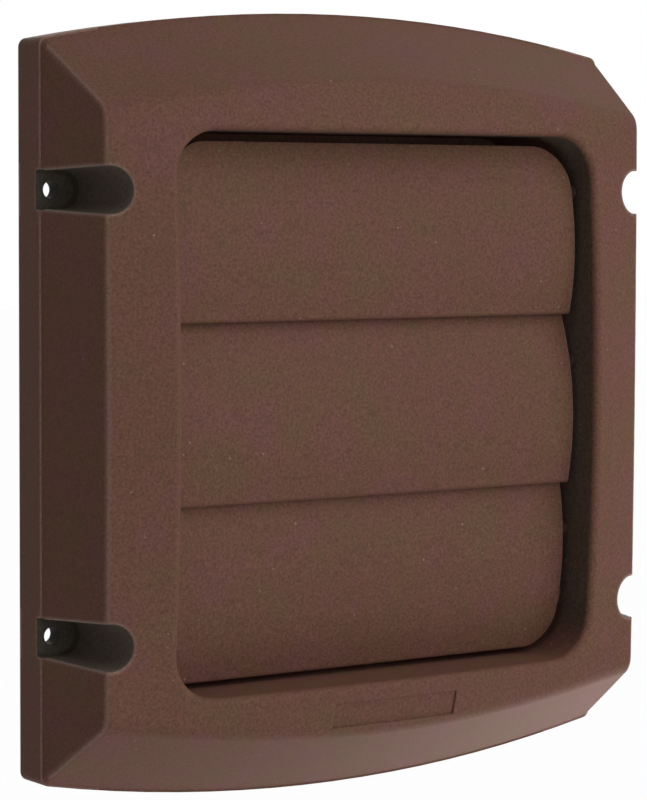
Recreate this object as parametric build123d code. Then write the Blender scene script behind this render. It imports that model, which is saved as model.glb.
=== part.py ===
from build123d import *
import math
import os

# Louvered exhaust vent cap, in millimetres. The wall is the plane Y = 0, the front faces -Y,
# X runs to the right as seen from the front and Z is up. The origin is the duct's axis at the wall.
# A "depth" below is a distance in front of the wall.

# Rim band that stands on the wall
rim_width = 177.4
arch_rise = 8.9
rim_depth = 10.2
rim_corner_radius = 2.4

# Hood in front of the rim
wall = 2.2
least_inner_radius = 0.6
ledge = 0.4
side_draft_inset = 4.2
edge_depth = 34.0
bevel_run_corner = 0.798
bevel_run_middle = 0.664
crown_middle = 14.2
crown_end = 3.6
crown_end_height = 80.0
blend_radius = 6.0
edge_radius = 2.0

# Opening and throat
opening_width = 130.8
opening_corner_radius = 11.5
opening_edge_radius = 1.6
frame_height = 22.3
web_thickness = 2.5

# Duct collar behind the wall plane
collar_diameter = 100.0
collar_wall = 2.2
collar_length = 40.0
collar_chamfer = 1.0

# Screw wells, open to the sides
screw_inset = 4.2
screw_spacing_z = 110.4
screw_hole_diameter = 4.4
well_radius = 4.6
well_reach = 1.6
well_draft = 2.8
well_floor_depth = 8.6
well_floor_thickness = 4.6

# Bare recess under the opening
recess_width = 38.7
recess_height = 6.3
recess_below_opening = 7.8
recess_depth = 0.5

# Louver blades
blade_pitch = 45.5
blade_radius = 75.0
blade_thickness = 2.0
blade_overlap = 0.6
blade_bulge_below_pivot = 15.4
blade_bulge_ahead = 4.3
blade_end_gap = 2.45
blade_sill_gap = 1.0
blade_corner_radius = 11.0
blade_lip_diameter = 2.7
bottom_blade_tilt = 10.0

# Pivots
pivot_below_opening_top = 14.5
lip_above_next_pivot = 12.4
pivot_depth = 28.5
bottom_pivot_setback = 2.2
pin_diameter = 2.6
pin_clearance = 0.08
hub_diameter = 3.8
hub_length = 8.0
hub_end_gap = 0.35

# Stops on the throat's side walls, behind the bottom blade
stop_above_lip = 14.0
stop_length = 5.0
stop_height = 4.0
stop_thickness = 2.2
stop_gap = 0.4

# Reach of the cutting and trimming solids past the body
overshoot = 20.0
pin_hole_reach = 4.4

# Limits that pick out edges and faces
edge_margin = 1.0
side_facing = 0.9

# Values that follow from the sizes above
front = Plane.XZ
blade_below_pivot = blade_pitch - lip_above_next_pivot
opening_height = pivot_below_opening_top + 2 * blade_pitch + blade_below_pivot + blade_sill_gap
half_opening_width = opening_width / 2
half_opening_height = opening_height / 2
half_width = rim_width / 2
half_side = half_opening_height + frame_height
arch_radius = (half_width ** 2 + arch_rise ** 2) / (2 * arch_rise)
arch_centre = half_side + arch_rise - arch_radius
hood_half_width = half_width - ledge
edge_half_width = hood_half_width - side_draft_inset
full_depth = edge_depth + crown_middle
reach = full_depth + overshoot
bevel_reach = reach - rim_depth
far_middle_z = half_side + arch_rise - bevel_run_middle * bevel_reach
corner_drop = arch_radius - math.sqrt(arch_radius ** 2 - edge_half_width ** 2)
far_rise = corner_drop + (bevel_run_corner - bevel_run_middle) * bevel_reach
far_radius = (edge_half_width ** 2 + far_rise ** 2) / (2 * far_rise)
blade_half_length = half_opening_width - blade_end_gap
screw_spacing_x = rim_width - 2 * screw_inset
recess_centre_z = -half_opening_height - recess_below_opening
collar_bore_radius = collar_diameter / 2 - collar_wall
top_pivot_z = half_opening_height - pivot_below_opening_top
pivots = [(top_pivot_z - row * blade_pitch, pivot_depth) for row in range(2)]
pivots.append((top_pivot_z - 2 * blade_pitch, pivot_depth - bottom_pivot_setback))


def at(x, z, depth):
    """A place given as seen from the front, with its depth ahead of the wall."""
    return front * Pos(x, z, depth)


def rounded_block(width, height, radius, start, end):
    """A rounded rectangle, seen from the front, between two depths."""
    return extrude(at(0, 0, start) * RectangleRounded(width, height, radius), end - start)


def arched_end(side, inset):
    """A skewed cone from the rim's arch to a tighter arch ahead, which trims the hood's top or bottom."""
    near = at(0, side * arch_centre, rim_depth) * Circle(arch_radius - ledge - inset)
    far = at(0, side * (far_middle_z - far_radius), reach) * Circle(far_radius - ledge - inset)
    return loft([near, far], ruled=True)


def inner_radius(radius, inset):
    """The radius of a rounded corner that lies an inset inside another."""
    return max(radius - inset, least_inner_radius)


def rim_form(inset):
    """The straight band next to the wall, smaller by an inset on its outline."""
    block = at(0, 0, rim_depth / 2) * Box(rim_width - 2 * inset, 2 * (half_side + overshoot), rim_depth)
    for side in (1, -1):
        block &= at(0, side * arch_centre, rim_depth / 2) * Cylinder(arch_radius - inset, rim_depth)
    corners = block.edges().filter_by(Axis.Y)
    return fillet(corners, inner_radius(rim_corner_radius, inset))


def crown_section(z, inset):
    """A slice of the crowned face at one height: a block whose front is an arc across the width."""
    rise = crown_middle - (crown_middle - crown_end) * (z / crown_end_height) ** 2
    half = half_width + overshoot
    edge = edge_depth - inset + rise * (1 - (half / edge_half_width) ** 2)
    arc = ThreePointArc((-half, -edge), (0, inset - edge_depth - rise), (half, -edge))
    back = Polyline((half, -edge), (half, 0), (-half, 0), (-half, -edge))
    return Pos(0, 0, z) * make_face(arc + back)


def is_ahead(edge):
    """True for an edge whose middle lies ahead of the rim."""
    return (edge @ 0.5).Y < -rim_depth - edge_margin


def hood_form(inset):
    """The hood ahead of the rim: drafted sides, sloped arched ends and a crowned face."""
    top = half_side + arch_rise
    crown = loft([crown_section(z, inset) for z in (-top, 0, top)])
    height = edge_depth - rim_depth
    foot = hood_half_width - inset
    head = foot - side_draft_inset * (reach - rim_depth) / height
    sides = Polyline((foot, -rim_depth), (head, -reach), (-head, -reach), (-foot, -rim_depth), close=True)
    block = extrude(make_face(sides), top, both=True) & crown
    for side in (1, -1):
        block &= arched_end(side, inset)
    brows = block.edges().filter_by(lambda e: abs((e @ 0.5).X) < edge_margin and is_ahead(e))
    block = fillet(brows, blend_radius - inset)
    flanks = block.faces().filter_by(lambda f: abs(f.normal_at().X) > side_facing)
    rims = flanks.edges().filter_by(is_ahead)
    return fillet(rims, inner_radius(edge_radius, inset))


def shell_form(inset):
    """The whole outside of the hood, smaller by an inset."""
    return rim_form(inset) + hood_form(inset)


def well_block(side_x, side_z, start, extra):
    """A drafted channel over a screw hole, open to the side, with its wall offset by an extra."""
    radius = well_radius + extra
    end_x = screw_spacing_x / 2 - well_reach
    length = half_width + overshoot - end_x
    outline = Circle(radius) + Pos(side_x * length / 2, 0) * Rectangle(length, 2 * radius)
    place = at(side_x * end_x, side_z * screw_spacing_z / 2, start)
    return extrude(place * outline, reach - start, taper=-well_draft)


def on_opening_edge(edge):
    """True for the edges round the mouth of the opening, on the face."""
    place = edge @ 0.5
    inside = abs(place.X) < half_opening_width + wall and abs(place.Z) < half_opening_height + wall
    return inside and place.Y < -rim_depth


def blade_point(inset, angle):
    """A point of a blade's section, as Y and Z from its pivot, at an inset behind its outer arc."""
    radius = blade_radius - inset
    depth = blade_bulge_ahead - blade_radius + radius * math.cos(angle)
    return (-depth, radius * math.sin(angle) - blade_bulge_below_pivot)


def blade_angle(z):
    """Where a height above the pivot lies on the blade's arc."""
    return math.asin((z + blade_bulge_below_pivot) / blade_radius)


def blade_section(above):
    """A blade cut across: a curved strip with a round top edge and a thicker round lip."""
    top = blade_angle(above)
    lip = blade_angle(-blade_below_pivot) + blade_lip_diameter / 2 / blade_radius
    middle = (top + lip) / 2
    outer = ThreePointArc(blade_point(0, top), blade_point(0, middle), blade_point(0, lip))
    inner = ThreePointArc(*(blade_point(blade_thickness, angle) for angle in (lip, middle, top)))
    strip = make_face(outer + Line(outer @ 1, inner @ 0) + inner + Line(inner @ 1, outer @ 0))
    strip += Pos(*blade_point(blade_thickness / 2, top)) * Circle(blade_thickness / 2)
    return strip + Pos(*blade_point(blade_lip_diameter / 2, lip)) * Circle(blade_lip_diameter / 2)


def bottom_blade_place():
    """Where the bottom blade hangs: on its pivot, further in than the others."""
    z, depth = pivots[2]
    return Pos(0, -depth, z) * Rot(bottom_blade_tilt, 0, 0)


def make_louver(above, round_top, round_bottom):
    """A blade with its hubs and pins, about its own pivot axis along X."""
    blade = extrude(Plane.YZ * blade_section(above), blade_half_length, both=True)
    tall = 2 * opening_height
    for rounded, edge_z, side in ((round_top, above, -1), (round_bottom, -blade_below_pivot, 1)):
        if rounded:
            outline = RectangleRounded(2 * blade_half_length, tall, blade_corner_radius)
            blade &= extrude(at(0, edge_z + side * tall / 2, 0) * outline, reach, both=True)
    hub_end = half_opening_width - hub_end_gap
    pin_end = half_opening_width + wall
    for side in (1, -1):
        hub = Cylinder(hub_diameter / 2, hub_length, rotation=(0, 90, 0))
        blade += Pos(side * (hub_end - hub_length / 2), 0, 0) * hub
        pin = Cylinder(pin_diameter / 2, pin_end - hub_end, rotation=(0, 90, 0))
        blade += Pos(side * (hub_end + pin_end) / 2, 0, 0) * pin
    return blade


def blade_stops():
    """The stops that the bottom blade's back hangs against, one on each side wall of the throat."""
    angle = blade_angle(stop_above_lip - blade_below_pivot)
    y, z = blade_point(blade_thickness + stop_gap + stop_thickness / 2, angle)
    root = half_opening_width + wall / 2
    length = stop_length + wall / 2
    stop = Rot(-math.degrees(angle), 0, 0) * Box(length, stop_thickness, stop_height)
    pair = [Pos(side * (root - length / 2), y, z) * stop for side in (1, -1)]
    return bottom_blade_place() * Compound(children=pair)


def make_hood():
    """The hood moulding: shell, throat, back web, duct collar, screw wells and blade stops in one piece."""
    body = shell_form(0)
    mouth = rounded_block(opening_width, opening_height, opening_corner_radius, web_thickness, reach)
    body -= mouth
    lips = body.edges().filter_by(on_opening_edge)
    body = fillet(lips, opening_edge_radius)

    pocket = shell_form(wall)
    pocket -= rounded_block(
        opening_width + 2 * wall, opening_height + 2 * wall, opening_corner_radius + wall, 0, reach
    )
    for side_x in (1, -1):
        for side_z in (1, -1):
            pocket -= well_block(side_x, side_z, well_floor_depth - well_floor_thickness, wall)
    body -= pocket

    collar = Cylinder(collar_diameter / 2, collar_length)
    collar = chamfer(collar.edges().filter_by(GeomType.CIRCLE).sort_by(Axis.Z)[0], collar_chamfer)
    body += at(0, 0, -collar_length / 2) * collar
    bore_length = collar_length + web_thickness
    body -= at(0, 0, web_thickness - bore_length / 2) * Cylinder(collar_bore_radius, bore_length)
    body += blade_stops()

    for side_x in (1, -1):
        for side_z in (1, -1):
            body -= well_block(side_x, side_z, well_floor_depth, 0)
            x = side_x * screw_spacing_x / 2
            z = side_z * screw_spacing_z / 2
            body -= at(x, z, well_floor_depth) * Cylinder(screw_hole_diameter / 2, 2 * well_floor_depth)
    for z, depth in pivots:
        hole_length = opening_width + 2 * pin_hole_reach
        hole = Cylinder(pin_diameter / 2 + pin_clearance, hole_length, rotation=(0, 90, 0))
        body -= Pos(0, -depth, z) * hole

    label = at(0, recess_centre_z, 0) * Rectangle(recess_width, recess_height)
    body -= extrude(label, reach) - shell_form(recess_depth)
    return body


def make_louvers():
    """The three blades in their places, closed."""
    tucked = lip_above_next_pivot + blade_overlap
    top = make_louver(pivot_below_opening_top - blade_end_gap, True, False)
    middle = make_louver(tucked, False, False)
    bottom = make_louver(tucked, False, True)
    places = [Pos(0, -depth, z) for z, depth in pivots]
    return {
        "louver_top": places[0] * top,
        "louver_middle": places[1] * middle,
        "louver_bottom": bottom_blade_place() * bottom,
    }


parts = {"hood_frame": make_hood(), **make_louvers()}
os.makedirs("parts", exist_ok=True)
for name, shape in parts.items():
    export_step(shape, f"parts/{name}.step")
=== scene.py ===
import bpy
import math
from mathutils import Matrix, Vector


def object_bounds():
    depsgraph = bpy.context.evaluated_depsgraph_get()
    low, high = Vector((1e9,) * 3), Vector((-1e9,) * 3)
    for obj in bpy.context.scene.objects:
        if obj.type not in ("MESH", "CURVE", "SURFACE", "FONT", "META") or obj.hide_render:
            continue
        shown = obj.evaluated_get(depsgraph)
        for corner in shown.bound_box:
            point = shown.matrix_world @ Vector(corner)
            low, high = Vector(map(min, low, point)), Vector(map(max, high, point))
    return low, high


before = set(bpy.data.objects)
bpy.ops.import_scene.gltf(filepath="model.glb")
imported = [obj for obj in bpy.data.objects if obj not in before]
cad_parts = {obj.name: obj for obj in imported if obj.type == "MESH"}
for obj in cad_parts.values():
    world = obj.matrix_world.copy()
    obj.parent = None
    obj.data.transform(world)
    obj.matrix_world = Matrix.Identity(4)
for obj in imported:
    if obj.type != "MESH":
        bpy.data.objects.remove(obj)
cad_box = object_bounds()

# Camera, from the outline in the photograph. Lengths in metres, angles in degrees.
IMAGE_HEIGHT_PX = 800
FOCAL_PX = 2943.4
SENSOR_MM = 36.0
CAMERA_LEFT_DEG = 35.29
CAMERA_ABOVE_DEG = 4.005
CAMERA_ROLL_DEG = -0.235
CAMERA_DISTANCE = 0.7821
CAMERA_NEAR = 0.01
AIM_RIGHT = 0.003155
AIM_UP = -0.000192

# Colours as linear values
HOOD_BROWN = (0.166, 0.079, 0.054)
LOUVER_BROWN = (0.164, 0.079, 0.054)
# Painted shade: a greyer brown for the screw wells' walls
WELL_SHADE_BROWN = (0.130, 0.100, 0.078)
# Painted shade: a darker, greyer brown for the front of the throat
THROAT_SHADE_BROWN = (0.085, 0.072, 0.056)
# Painted shade: a darker brown for the wells' floor corners and holes
CORNER_SHADE_BROWN = (0.080, 0.066, 0.052)
# Painted highlight: a paler brown for sharp edges and the wells' mouths
EDGE_HIGHLIGHT_BROWN = (0.300, 0.175, 0.130)
# Painted shade: a near black for the blades' hubs and pins
PIVOT_SHADE_BROWN = (0.045, 0.030, 0.022)
SPECK_COLOUR = (0.30, 0.22, 0.19)
STAGE_WHITE = (0.93, 0.93, 0.93)
WHITE = (1, 1, 1)
BLACK = (0, 0, 0)

# Plastic: sizes in metres. The mottle runs from a greener brown through the plain one to a pinker brown.
MOTTLE_SIZE = 0.014
MOTTLE_DETAIL = 4.0
MOTTLE_STOPS = (0.36, 0.50, 0.64)
GREENER = (0.94, 1.06, 0.94)
PINKER = (1.03, 0.98, 1.18)
GRAIN_SIZE = 0.0007
GRAIN_DETAIL = 3.0
GRAIN_STOPS = (0.30, 0.70)
GRAIN_DARK = 0.74
GRAIN_LIGHT = 1.26
BUMP_SIZE = GRAIN_SIZE / 2
BUMP_DETAIL = 2.0
BUMP_STRENGTH = 0.45
BUMP_HEIGHT = 0.0002
SPECK_SPACING = 0.0067
SPECK_REACH = 0.05
ROUGH_LOW = 0.54
ROUGH_HIGH = 0.70
ROUGH_EDGE = 0.42
FLAT_GLOSS = 0.10
EDGE_GLOSS = 0.36
# Sharp edges get a softened shading normal, and a mask that gives them more gloss and the painted highlight
# colour
EDGE_ROUND = 0.0007
EDGE_SAMPLES = 6
EDGE_GAIN = 4.0

# Front of the throat, painted darker and greyer there as the shade inside the opening (painted shade), in
# metres
THROAT_HALF = (0.0654, 0.0698)
THROAT_CORNER = 0.0115
THROAT_FRONT = 0.034
THROAT_BACK = 0.020
THROAT_FADE = 0.010
THROAT_SHARE = 0.75
SILL_DOWN = 0.058

# Screw wells, whose walls are painted greyer and whose floor corners and holes are painted darker as their
# shade (painted shade), in metres. Their walls widen with the height over the floor.
WELL_CENTRE = (0.0829, 0.0552)
WELL_RADIUS = 0.00475
WELL_FLOOR = 0.0085
WELL_DRAFT = 0.0489
WELL_CORNER = 0.003
HOLE_CENTRE = (0.0845, 0.0552)
HOLE_RADIUS = 0.003
# Round the wells' mouths the softened edge is wider and the painted edge highlight stronger
MOUTH_REACH = 0.002
MOUTH_ROUND = 0.0009
MOUTH_GAIN = 0.8
MASK_BLUR = 0.0002

# The hood's sides and the blades' ends, in metres. A rounded edge is known by how far it faces sideways.
SIDES_FROM = 0.072
SIDES_AHEAD = 0.012
ROUNDED_STOPS = (0.32, 0.65, 0.97)
# Past the blades' ends the hubs and pins are painted dark as the shade they sit in
BLADE_END = 0.0631

FLOOR_DROP = 0.55
FLOOR_SIZE = 30.0
FLOOR_GLOW = 0.98
FLOOR_ROUGH = 0.9

# Soft boxes that look at the origin: degrees to the right of the front, degrees up, metres off,
# width in metres, watts
LIGHTS = {
    "fill_front": (0, 5, 1.2, 0.8, 3.8),
    "key_right": (35, 5, 1.2, 0.8, 1.8),
    "key_right_high": (35, 40, 1.2, 0.8, 3.8),
    "low_right": (105, -35, 0.8, 0.55, 3.4),
    "edge_left_high": (-62, 58, 1.2, 0.35, 0.75),
    "back": (150, 12, 1.2, 0.8, 4.0),
}
WARM_LIGHT = "low_right"
WARM_COLOUR = (1.0, 0.80, 0.76)
WORLD_STRENGTH = 0.15


def place_camera():
    """Puts the camera where the photograph was taken from."""
    turn = math.radians(CAMERA_LEFT_DEG)
    tip = math.radians(CAMERA_ABOVE_DEG)
    roll = math.radians(CAMERA_ROLL_DEG)
    right = Vector((math.cos(turn), -math.sin(turn), 0))
    up = Vector((math.sin(turn) * math.sin(tip), math.cos(turn) * math.sin(tip), math.cos(tip)))
    back = Vector((-math.sin(turn) * math.cos(tip), -math.cos(turn) * math.cos(tip), math.sin(tip)))
    rolled_right = right * math.cos(roll) - up * math.sin(roll)
    rolled_up = right * math.sin(roll) + up * math.cos(roll)
    place = rolled_right * AIM_RIGHT + rolled_up * AIM_UP + back * CAMERA_DISTANCE
    data = bpy.data.cameras.new("camera")
    data.sensor_width = SENSOR_MM
    data.lens = FOCAL_PX / IMAGE_HEIGHT_PX * SENSOR_MM
    data.clip_start = CAMERA_NEAR
    camera = bpy.data.objects.new("camera", data)
    bpy.context.scene.collection.objects.link(camera)
    turned = Matrix((rolled_right, rolled_up, back)).transposed().to_4x4()
    camera.matrix_world = Matrix.Translation(place) @ turned
    bpy.context.scene.camera = camera


def add_node(tree, kind, **values):
    """A shader node with its plain properties set."""
    node = tree.nodes.new(kind)
    for key, value in values.items():
        setattr(node, key, value)
    return node


def noise(tree, place, size, detail):
    """Cloudy noise with blotches of about a size in metres. Its output runs from 0 to 1."""
    node = add_node(tree, "ShaderNodeTexNoise")
    node.inputs["Scale"].default_value = 1 / size
    node.inputs["Detail"].default_value = detail
    tree.links.new(place, node.inputs["Vector"])
    return node.outputs["Fac"]


def ramp(tree, value, positions, colours):
    """Colours along a value, each at its position."""
    node = add_node(tree, "ShaderNodeValToRGB")
    elements = node.color_ramp.elements
    elements[0].position = positions[0]
    elements[1].position = positions[-1]
    for position in positions[1:-1]:
        elements.new(position)
    for element, colour in zip(elements, colours):
        element.color = (*colour, 1.0)
    tree.links.new(value, node.inputs["Fac"])
    return node.outputs["Color"]


def grey(level):
    """A colour with the same value three times."""
    return (level, level, level)


def mixed(tree, blend, factor, first, second):
    """One colour laid over another. The factor is a number or a socket."""
    node = add_node(tree, "ShaderNodeMix", data_type="RGBA", blend_type=blend)
    if isinstance(factor, float):
        node.inputs["Factor"].default_value = factor
    else:
        tree.links.new(factor, node.inputs["Factor"])
    tree.links.new(first, node.inputs[6])
    if isinstance(second, tuple):
        node.inputs[7].default_value = (*second, 1.0)
    else:
        tree.links.new(second, node.inputs[7])
    return node.outputs[2]


def sums(tree, operation, first, second=0.0):
    """One step of arithmetic on sockets or numbers."""
    node = add_node(tree, "ShaderNodeMath", operation=operation)
    for socket, value in zip(node.inputs, (first, second)):
        if isinstance(value, float):
            socket.default_value = value
        else:
            tree.links.new(value, socket)
    return node.outputs[0]


def product(tree, *factors):
    """Sockets or numbers multiplied together."""
    total = factors[0]
    for factor in factors[1:]:
        total = sums(tree, "MULTIPLY", total, factor)
    return total


def below(tree, value, limit, blur):
    """1 where a value is under a limit, fading to 0 just past it."""
    node = add_node(tree, "ShaderNodeMapRange", interpolation_type="SMOOTHSTEP")
    node.inputs["From Min"].default_value = limit
    node.inputs["From Max"].default_value = limit + blur
    node.inputs["To Min"].default_value = 1.0
    node.inputs["To Max"].default_value = 0.0
    tree.links.new(value, node.inputs["Value"])
    return node.outputs["Result"]


def step_length(tree, across, up):
    """The length of a flat step."""
    squares = sums(tree, "ADD", product(tree, across, across), product(tree, up, up))
    return sums(tree, "SQRT", squares)


def split(tree, vector):
    """The X, Y and Z of a vector."""
    axes = add_node(tree, "ShaderNodeSeparateXYZ")
    tree.links.new(vector, axes.inputs[0])
    return axes.outputs["X"], axes.outputs["Y"], axes.outputs["Z"]


def from_axes(tree, place):
    """How far a place is across and up from the middle, to either side, and how far ahead of the wall."""
    x, y, z = split(tree, place)
    return sums(tree, "ABSOLUTE", x), sums(tree, "ABSOLUTE", z), product(tree, y, -1.0)


def throat_front(tree, place):
    """Rises on the front part of the throat's walls, apart from its sill, and is 0 elsewhere. It marks
    where the painted shade goes.
    """
    across, up, ahead = from_axes(tree, place)
    down = product(tree, split(tree, place)[2], -1.0)
    past = []
    for value, half in zip((across, up), THROAT_HALF):
        past.append(sums(tree, "MAXIMUM", sums(tree, "SUBTRACT", value, half - THROAT_CORNER), 0.0))
    within = below(tree, step_length(tree, *past), THROAT_CORNER, MASK_BLUR)
    behind_lip = below(tree, ahead, THROAT_FRONT, THROAT_FADE)
    off_sill = below(tree, down, SILL_DOWN, THROAT_FADE)
    off_back = sums(tree, "SUBTRACT", 1.0, below(tree, ahead, THROAT_BACK, THROAT_FADE))
    return product(tree, within, behind_lip, off_sill, off_back, THROAT_SHARE)


def screw_wells(tree, place):
    """Three masks: 1 on a well's walls, 1 at its floor and hole, 1 in the well and round its mouth. The
    first takes a greyer painted shade, the second a darker painted shade, and the third widens the softened
    edge and strengthens the painted edge highlight round the mouth.
    """
    across, up, ahead = from_axes(tree, place)
    inward = sums(tree, "MAXIMUM", sums(tree, "SUBTRACT", WELL_CENTRE[0], across), 0.0)
    off_middle = step_length(tree, inward, sums(tree, "SUBTRACT", up, WELL_CENTRE[1]))
    above_floor = sums(tree, "SUBTRACT", ahead, WELL_FLOOR)
    undrafted = sums(tree, "SUBTRACT", off_middle, product(tree, above_floor, WELL_DRAFT))
    within = below(tree, undrafted, WELL_RADIUS, MASK_BLUR)
    walls = product(tree, within, sums(tree, "GREATER_THAN", above_floor, 0.0))
    corners = product(tree, walls, below(tree, above_floor, WELL_CORNER, MASK_BLUR))
    from_hole = [sums(tree, "SUBTRACT", value, centre) for value, centre in zip((across, up), HOLE_CENTRE)]
    hole = below(tree, step_length(tree, *from_hole), HOLE_RADIUS, MASK_BLUR)
    mouths = below(tree, undrafted, WELL_RADIUS + MOUTH_REACH, MASK_BLUR)
    return walls, sums(tree, "MAXIMUM", corners, hole), mouths


def sides(tree, place):
    """Two masks: 1 near the hood's two sides, 1 on their rounded edges towards the face."""
    across, _, ahead = from_axes(tree, place)
    normal = add_node(tree, "ShaderNodeTexCoord").outputs["Normal"]
    sideways = sums(tree, "ABSOLUTE", split(tree, normal)[0])
    between = ramp(tree, sideways, ROUNDED_STOPS, (BLACK, WHITE, BLACK))
    far_out = sums(tree, "GREATER_THAN", across, SIDES_FROM)
    off_rim = sums(tree, "GREATER_THAN", ahead, SIDES_AHEAD)
    return far_out, product(tree, between, far_out, off_rim)


def pivots(tree, place):
    """1 on the hubs and pins past a blade's ends, where they are painted dark as shade, 0 on the blade."""
    across, _, _ = from_axes(tree, place)
    return sums(tree, "GREATER_THAN", across, BLADE_END)


def sharp_edges(tree, softened):
    """How near a sharp edge is: 0 on the flat, rising where the softened normal leaves the true one."""
    turn = add_node(tree, "ShaderNodeVectorMath", operation="DOT_PRODUCT")
    tree.links.new(softened, turn.inputs[0])
    tree.links.new(add_node(tree, "ShaderNodeNewGeometry").outputs["Normal"], turn.inputs[1])
    away = sums(tree, "SUBTRACT", 1.0, turn.outputs["Value"])
    gained = add_node(tree, "ShaderNodeMath", operation="MULTIPLY", use_clamp=True)
    gained.inputs[1].default_value = EDGE_GAIN
    tree.links.new(away, gained.inputs[0])
    return gained.outputs[0]


def plastic(name, brown, is_hood):
    """Matt moulded plastic: mottled brown, fine grain, a painted highlight on sharp edges and a few pale
    specks of dust. The hood also gets painted shade in its throat and screw wells, the blades painted shade
    on their hubs and pins.
    """
    material = bpy.data.materials.new(name)
    material.use_nodes = True
    tree = material.node_tree
    shader = tree.nodes["Principled BSDF"]
    place = add_node(tree, "ShaderNodeTexCoord").outputs["Object"]

    tints = [tuple(value * share for value, share in zip(brown, tint)) for tint in (GREENER, WHITE, PINKER)]
    colour = ramp(tree, noise(tree, place, MOTTLE_SIZE, MOTTLE_DETAIL), MOTTLE_STOPS, tints)
    softened = add_node(tree, "ShaderNodeBevel", samples=EDGE_SAMPLES)
    softened.inputs["Radius"].default_value = EDGE_ROUND
    edges = sharp_edges(tree, softened.outputs["Normal"])
    if is_hood:
        walls, corners, mouths = screw_wells(tree, place)
        near_sides, rounded = sides(tree, place)
        rounding = sums(tree, "ADD", EDGE_ROUND, product(tree, mouths, MOUTH_ROUND))
        tree.links.new(rounding, softened.inputs["Radius"])
        # Painted shade: the throat's front walls are darkened and greyed to stand for the shade inside the
        # opening
        colour = mixed(tree, "MIX", throat_front(tree, place), colour, THROAT_SHADE_BROWN)
        # Painted shade: the wells' walls greyer, their floor corners and holes darker
        colour = mixed(tree, "MIX", walls, colour, WELL_SHADE_BROWN)
        colour = mixed(tree, "MIX", corners, colour, CORNER_SHADE_BROWN)
        # Edges near the sides and round the wells' mouths take the painted highlight and extra gloss; the
        # wells' floor corners do not
        gain = sums(tree, "ADD", 1.0, product(tree, mouths, MOUTH_GAIN))
        edges = product(tree, edges, sums(tree, "SUBTRACT", near_sides, corners), gain)
        edges = sums(tree, "MINIMUM", edges, 1.0)
        smooth = sums(tree, "MAXIMUM", edges, product(tree, rounded, sums(tree, "SUBTRACT", 1.0, walls)))
    else:
        # Painted shade: the hubs and pins past the blades' ends are darkened as they sit in the throat's
        # shade
        colour = mixed(tree, "MIX", pivots(tree, place), colour, PIVOT_SHADE_BROWN)
        smooth = edges
    # Painted highlight: sharp edges are lightened to stand for light caught on their rounded edges
    colour = mixed(tree, "MIX", edges, colour, EDGE_HIGHLIGHT_BROWN)

    grain = noise(tree, place, GRAIN_SIZE, GRAIN_DETAIL)
    light_and_dark = ramp(tree, grain, GRAIN_STOPS, (grey(GRAIN_DARK), grey(GRAIN_LIGHT)))
    grained = mixed(tree, "MULTIPLY", 1.0, colour, light_and_dark)
    dots = add_node(tree, "ShaderNodeTexVoronoi")
    dots.inputs["Scale"].default_value = 1 / SPECK_SPACING
    tree.links.new(place, dots.inputs["Vector"])
    near_dot = ramp(tree, dots.outputs["Distance"], (SPECK_REACH / 2, SPECK_REACH), (WHITE, BLACK))
    tree.links.new(mixed(tree, "MIX", near_dot, grained, SPECK_COLOUR), shader.inputs["Base Color"])

    rough = ramp(tree, grain, GRAIN_STOPS, (grey(ROUGH_LOW), grey(ROUGH_HIGH)))
    tree.links.new(mixed(tree, "MIX", smooth, rough, grey(ROUGH_EDGE)), shader.inputs["Roughness"])
    gloss = sums(tree, "ADD", FLAT_GLOSS, product(tree, smooth, EDGE_GLOSS))
    tree.links.new(gloss, shader.inputs["Specular IOR Level"])
    bump = add_node(tree, "ShaderNodeBump")
    bump.inputs["Strength"].default_value = BUMP_STRENGTH
    bump.inputs["Distance"].default_value = BUMP_HEIGHT
    tree.links.new(noise(tree, place, BUMP_SIZE, BUMP_DETAIL), bump.inputs["Height"])
    tree.links.new(softened.outputs["Normal"], bump.inputs["Normal"])
    tree.links.new(bump.outputs["Normal"], shader.inputs["Normal"])
    return material


def camera_side_rays(tree):
    """1 for the rays that show the background to the camera, straight or in a reflection."""
    path = add_node(tree, "ShaderNodeLightPath")
    total = path.outputs["Is Camera Ray"]
    for kind in ("Is Glossy Ray", "Is Transmission Ray"):
        total = sums(tree, "MAXIMUM", total, path.outputs[kind])
    return total


def white_world():
    """Even white light, and plain white where the camera sees past the floor."""
    world = bpy.data.worlds.new("studio")
    world.use_nodes = True
    bpy.context.scene.world = world
    tree = world.node_tree
    tree.nodes.clear()
    light = add_node(tree, "ShaderNodeBackground")
    light.inputs["Strength"].default_value = WORLD_STRENGTH
    seen = add_node(tree, "ShaderNodeBackground")
    seen.inputs["Color"].default_value = (*WHITE, 1.0)
    mix = add_node(tree, "ShaderNodeMixShader")
    output = add_node(tree, "ShaderNodeOutputWorld")
    tree.links.new(camera_side_rays(tree), mix.inputs["Fac"])
    tree.links.new(light.outputs["Background"], mix.inputs[1])
    tree.links.new(seen.outputs["Background"], mix.inputs[2])
    tree.links.new(mix.outputs["Shader"], output.inputs["Surface"])


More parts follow.
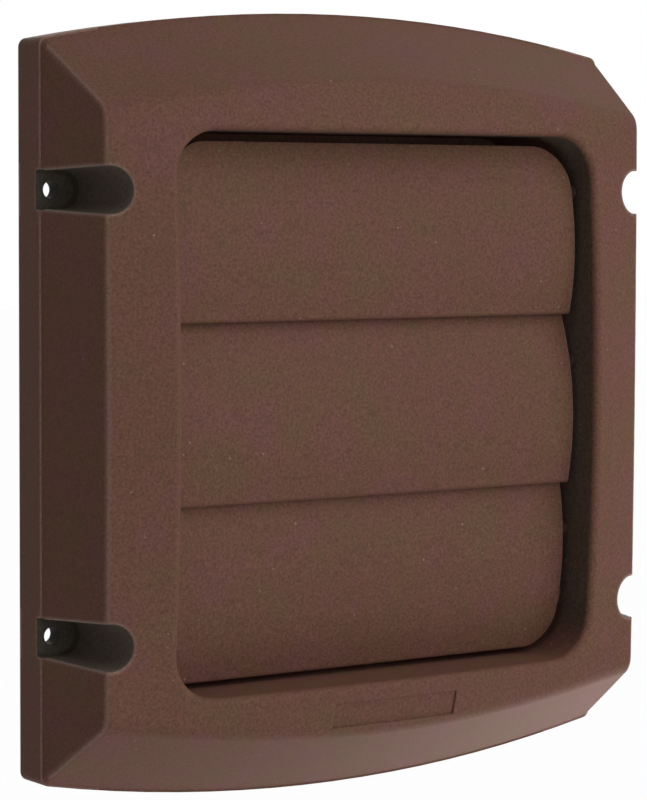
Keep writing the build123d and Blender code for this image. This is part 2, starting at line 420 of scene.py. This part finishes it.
def add_light(name, right_deg, up_deg, metres_off, size, watts):
    """A square soft box, aimed at the origin."""
    turn = math.radians(right_deg)
    rise = math.radians(up_deg)
    away = Vector((math.sin(turn) * math.cos(rise), -math.cos(turn) * math.cos(rise), math.sin(rise)))
    data = bpy.data.lights.new(name, "AREA")
    data.size = size
    data.energy = watts
    if name == WARM_LIGHT:
        data.color = WARM_COLOUR
    lamp = bpy.data.objects.new(name, data)
    lamp.location = away * metres_off
    lamp.rotation_euler = (-away).to_track_quat("-Z", "Y").to_euler()
    bpy.context.scene.collection.objects.link(lamp)


def add_floor():
    """The pale floor under the cap."""
    level = cad_box[0][2] - FLOOR_DROP
    half = FLOOR_SIZE / 2
    mesh = bpy.data.meshes.new("floor")
    corners = [(-half, -half, level), (half, -half, level), (half, half, level), (-half, half, level)]
    mesh.from_pydata(corners, [], [(0, 1, 2, 3)])
    floor = bpy.data.objects.new("floor", mesh)
    bpy.context.scene.collection.objects.link(floor)
    material = bpy.data.materials.new("floor_white")
    material.use_nodes = True
    tree = material.node_tree
    shader = tree.nodes["Principled BSDF"]
    shader.inputs["Base Color"].default_value = (*STAGE_WHITE, 1.0)
    shader.inputs["Roughness"].default_value = FLOOR_ROUGH
    glow = add_node(tree, "ShaderNodeEmission")
    mix = add_node(tree, "ShaderNodeMixShader")
    tree.links.new(product(tree, camera_side_rays(tree), FLOOR_GLOW), mix.inputs["Fac"])
    tree.links.new(shader.outputs["BSDF"], mix.inputs[1])
    tree.links.new(glow.outputs["Emission"], mix.inputs[2])
    tree.links.new(mix.outputs["Shader"], tree.nodes["Material Output"].inputs["Surface"])
    mesh.materials.append(material)


bpy.context.scene.view_settings.view_transform = "Standard"
place_camera()
white_world()
for name, values in LIGHTS.items():
    add_light(name, *values)
add_floor()
hood_plastic = plastic("hood_plastic_grain", HOOD_BROWN, True)
louver_plastic = plastic("louver_plastic_grain", LOUVER_BROWN, False)
for name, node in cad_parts.items():
    node.data.materials.clear()
    node.data.materials.append(hood_plastic if name == "hood_frame" else louver_plastic)
